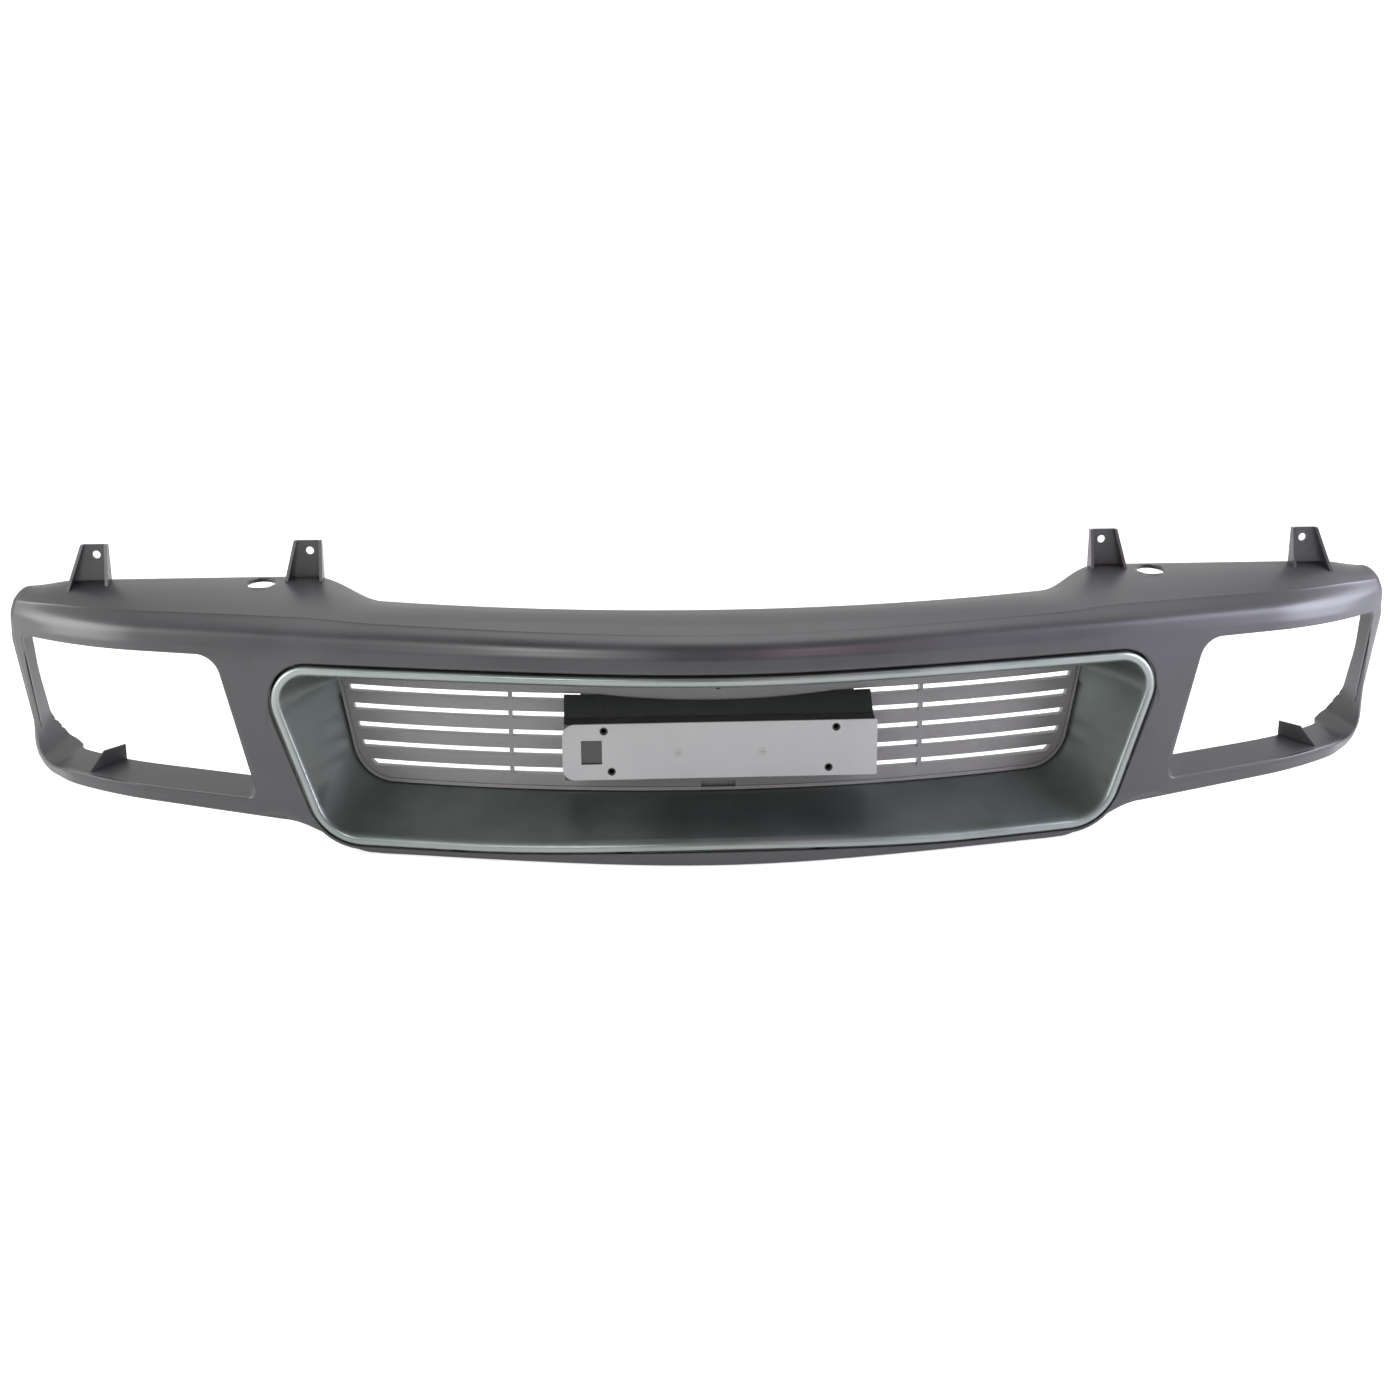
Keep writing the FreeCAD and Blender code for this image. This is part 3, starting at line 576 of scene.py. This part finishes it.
def chains(loop):
    """Upper and lower edge of a closed loop, both with x increasing."""
    loop = np.roll(loop, -loop[:, 0].argmin(), 0)
    k = loop[:, 0].argmax()
    one = loop[:k + 1]
    two = np.concatenate([loop[k:], loop[:1]])[::-1]
    edges = sorted((one, two), key=lambda c: c[:, 1].mean(), reverse=True)
    return [np.stack([np.maximum.accumulate(c[:, 0]), c[:, 1]], 1)
            for c in edges]


def weld(obj, reach=0.02 * MM):
    """Merges points that coincide and drops points without faces."""
    work = bmesh.new()
    work.from_mesh(obj.data)
    bmesh.ops.remove_doubles(work, verts=work.verts, dist=reach)
    loose = [v for v in work.verts if not v.link_faces]
    bmesh.ops.delete(work, geom=loose, context="VERTS")
    work.to_mesh(obj.data)
    work.free()


# %% Edges that the columns must meet
LEAN_TURNS = 60
COLUMN_STEP = 4.7
lamp = rounded(LAMP)
# The lean moves a point sideways, so its station is found by turns.
station = lamp[:, 0].copy()
for _ in range(LEAN_TURNS):
    station = lamp[:, 0] - post_lean(station, lamp[:, 1])
lamp_up, lamp_low = chains(np.stack([station, lamp[:, 1]], 1))
ring = ring_outline(GRILLE_GAP)
ring_right = ring[:len(ring) // 2 + 1]
widest = ring_right[:, 0].argmax()
ring_up, ring_low = ring_right[:widest + 1], ring_right[widest:][::-1]
end = np.array([[PANEL_HALF, lamp_up[-1, 1]]])
upper = np.concatenate([ring_up, lamp_up, end])
lower = np.concatenate([ring_low, lamp_low, end])
columns = np.unique(np.round(np.concatenate([
    ring_right[:, 0], station, np.arange(0, PANEL_HALF, COLUMN_STEP),
    [PANEL_HALF]]), 1))
columns = columns[columns >= 0]
print("columns each side:", len(columns))

# %% Film over the panel
BROW_STEPS, FACE_ROWS, SILL_ROWS = 5, 8, 12
x = np.concatenate([-columns[:0:-1], columns])
side, x = np.sign(x), np.abs(x)
side[side == 0] = 1
z_up = np.interp(x, upper[:, 0], upper[:, 1])
z_low = np.interp(x, lower[:, 0], lower[:, 1])
down = np.linspace(0, 1, FACE_ROWS)[1:, None]
brow_rows = through(top_controls(x), BROW_STEPS)
face_rows = face_points(x, BROW_Z + (z_up - BROW_Z) * down)
sill_rows = face_points(x, z_low + (bottom_z(x) - z_low)
                        * np.linspace(0, 1, SILL_ROWS)[:, None])
over = np.concatenate([brow_rows, face_rows])
film_points = np.concatenate([over, sill_rows])
print("rows of the film:", len(film_points))

# %% Access holes, edges and the film's thickness
TINY = 1e-6
offset = film_points[..., :2] - ACCESS_HOLE
distance = np.linalg.norm(offset, axis=-1)
in_hole = (distance < ACCESS_R) & (film_points[..., 2] > BROW_Z)
reach = ACCESS_R / np.maximum(distance, TINY)
pushed = ACCESS_HOLE + offset * reach[..., None]
film_points[..., :2] = np.where(in_hole[..., None], pushed,
                                film_points[..., :2])
limit = PANEL_HALF - FILM
film_points[..., 0] = np.minimum(film_points[..., 0], limit) * side
film_points[..., 2] = np.maximum(film_points[..., 2], LIP_Z + FILM)
film_faces = np.concatenate([
    grid_faces(len(over), len(x)),
    grid_faces(len(sill_rows), len(x), start=len(over) * len(x))])
film_faces = film_faces[~in_hole.reshape(-1)[film_faces].all(1)][:, ::-1]
film = mesh_object("header_panel_paint", film_points, film_faces)
weld(film)
coat = film.modifiers.new("film", "SOLIDIFY")
coat.thickness = FILM * MM
coat.offset = 1.0
film.data.materials.append(FINISH["panel"])
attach(film, "root")
print("paint film:", len(film.data.polygons), "faces")

# %% [markdown]
# ## Floor, light and camera
# A studio sets the part on white paper. The paper gives back most of the
# light and glows a little, so only a faint shadow shows under the sills.

# %% Floor
low, high = cad_bounds
FLOOR_GAP = 1.0 * MM
REACH = 40.0
PAPER_GLOW = 0.62
floor_z = low[2] - FLOOR_GAP
floor = bpy.data.meshes.new("floor")
floor.from_pydata([(-REACH, -REACH, floor_z), (REACH, -REACH, floor_z),
                   (REACH, REACH, floor_z), (-REACH, REACH, floor_z)],
                  [], [(0, 1, 2, 3)])
floor_obj = bpy.data.objects.new("floor", floor)
bpy.context.scene.collection.objects.link(floor_obj)
paper = bpy.data.materials.new("studio_paper")
paper.use_nodes = True
paper.node_tree.nodes.clear()
paper_matt = add_node(paper.node_tree, "ShaderNodeBsdfDiffuse",
                      {"Color": hex_colour("dcdcdc")})
paper_glow = add_node(paper.node_tree, "ShaderNodeEmission",
                      {"Color": hex_colour("ffffff"),
                       "Strength": PAPER_GLOW})
paper_sum = add_node(paper.node_tree, "ShaderNodeAddShader",
                     links={0: paper_matt.outputs["BSDF"],
                            1: paper_glow.outputs["Emission"]})
add_node(paper.node_tree, "ShaderNodeOutputMaterial",
         links={"Surface": paper_sum.outputs["Shader"]})
floor.materials.append(paper)
print("floor at height, m:", round(float(floor_z), 4))

# %% [markdown]
# ## Lamps
# Glossy plastic shows its lamps more than its colour. Large soft boxes at
# the sides draw the long highlights of the brow and posts; two small ones
# in front lift the grille. Metres and watts, as the studio would set them.

# %% Lights
def softbox(name, place, aim, size, power, colour="ffffff"):
    """A square area light at place, turned to aim."""
    light = bpy.data.lights.new(name, "AREA")
    light.shape = "RECTANGLE"
    light.size, light.size_y = size
    light.energy = power
    light.color = hex_colour(colour)[:3]
    holder = bpy.data.objects.new(name, light)
    bpy.context.scene.collection.objects.link(holder)
    back = np.array(place) - np.array(aim)
    back = back / np.linalg.norm(back)
    across = np.cross((0, 0, 1.0), back)
    across = across / np.linalg.norm(across)
    up = np.cross(back, across)
    turn = np.eye(4)
    turn[:3, 0], turn[:3, 1], turn[:3, 2], turn[:3, 3] = across, up, back, place
    holder.matrix_world = Matrix(turn.tolist())


softbox("overhead", (0.1, 0.5, 1.8), (0.0, 0.0, 0.0), (2.0, 0.6), 7)
softbox("left_side", (-2.6, -0.7, 0.7), (-0.6, 0.0, 0.0), (1.6, 1.4), 54)
softbox("right_side", (2.8, -0.7, 0.8), (0.6, 0.0, 0.0), (1.8, 1.6), 116,
        "ecebff")
softbox("front_left", (-1.0, -2.0, 0.8), (0.3, 0.0, -0.1), (0.3, 0.3), 12)
softbox("front_right", (0.8, -2.0, 0.8), (-0.3, 0.0, -0.1), (0.3, 0.3), 5,
        "ffd0dc")
print("lamps:", len(bpy.data.lights))

# %% [markdown]
# ## The room
# A polished part mirrors the room. Bright walls behind and beside it and a
# dark one in front give the brow its light edge and the face its depth, so
# the room's brightness follows the direction from front to back.

# %% Room
ROOM_FADE = (-0.75, 0.35)     # from front wall to back wall, along Y
ROOM_GLOW = (0.06, 1.08)      # strength at each end
world = bpy.data.worlds.new("studio")
bpy.context.scene.world = world
world.use_nodes = True
room = world.node_tree
room.nodes.clear()
aim = add_node(room, "ShaderNodeTexCoord")
split = add_node(room, "ShaderNodeSeparateXYZ",
                 links={"Vector": aim.outputs["Generated"]})
front_wall = add_node(room, "ShaderNodeMapRange",
                      {"From Min": ROOM_FADE[0], "From Max": ROOM_FADE[1],
                       "To Min": ROOM_GLOW[0], "To Max": ROOM_GLOW[1],
                       "interpolation_type": "SMOOTHSTEP"},
                      {"Value": split.outputs["Y"]})
sky = add_node(room, "ShaderNodeBackground", {"Color": (1.0, 1.0, 1.0, 1.0)},
               {"Strength": front_wall.outputs["Result"]})
add_node(room, "ShaderNodeOutputWorld",
         links={"Surface": sky.outputs["Background"]})
print("room strength, front to back:", ROOM_GLOW)

# %% Camera
CAMERA_AT = (-112.7, -1750.8, 469.1)
SENSOR, LENS, FAR = 36.0, 46.29, 100.0
camera_data = bpy.data.cameras.new("camera")
camera = bpy.data.objects.new("camera", camera_data)
bpy.context.scene.collection.objects.link(camera)
PITCH, YAW, ROLL = math.radians(15.0), math.radians(3.215), math.radians(-0.278)
forward = np.array([math.sin(YAW) * math.cos(PITCH),
                    math.cos(YAW) * math.cos(PITCH), -math.sin(PITCH)])
level = np.array([math.cos(YAW), -math.sin(YAW), 0.0])
upward = np.cross(level, forward)
right = math.cos(ROLL) * level + math.sin(ROLL) * upward
upward = np.cross(right, forward)
place = (np.array(CAMERA_AT) - DATUM) * MM
camera.matrix_world = Matrix([
    [right[0], upward[0], -forward[0], place[0]],
    [right[1], upward[1], -forward[1], place[1]],
    [right[2], upward[2], -forward[2], place[2]],
    [0, 0, 0, 1]])
camera_data.sensor_width = SENSOR
camera_data.lens = LENS
camera_data.clip_end = FAR
bpy.context.scene.camera = camera
bpy.context.scene.view_settings.view_transform = "Standard"
print("camera at, m:", place.round(3))
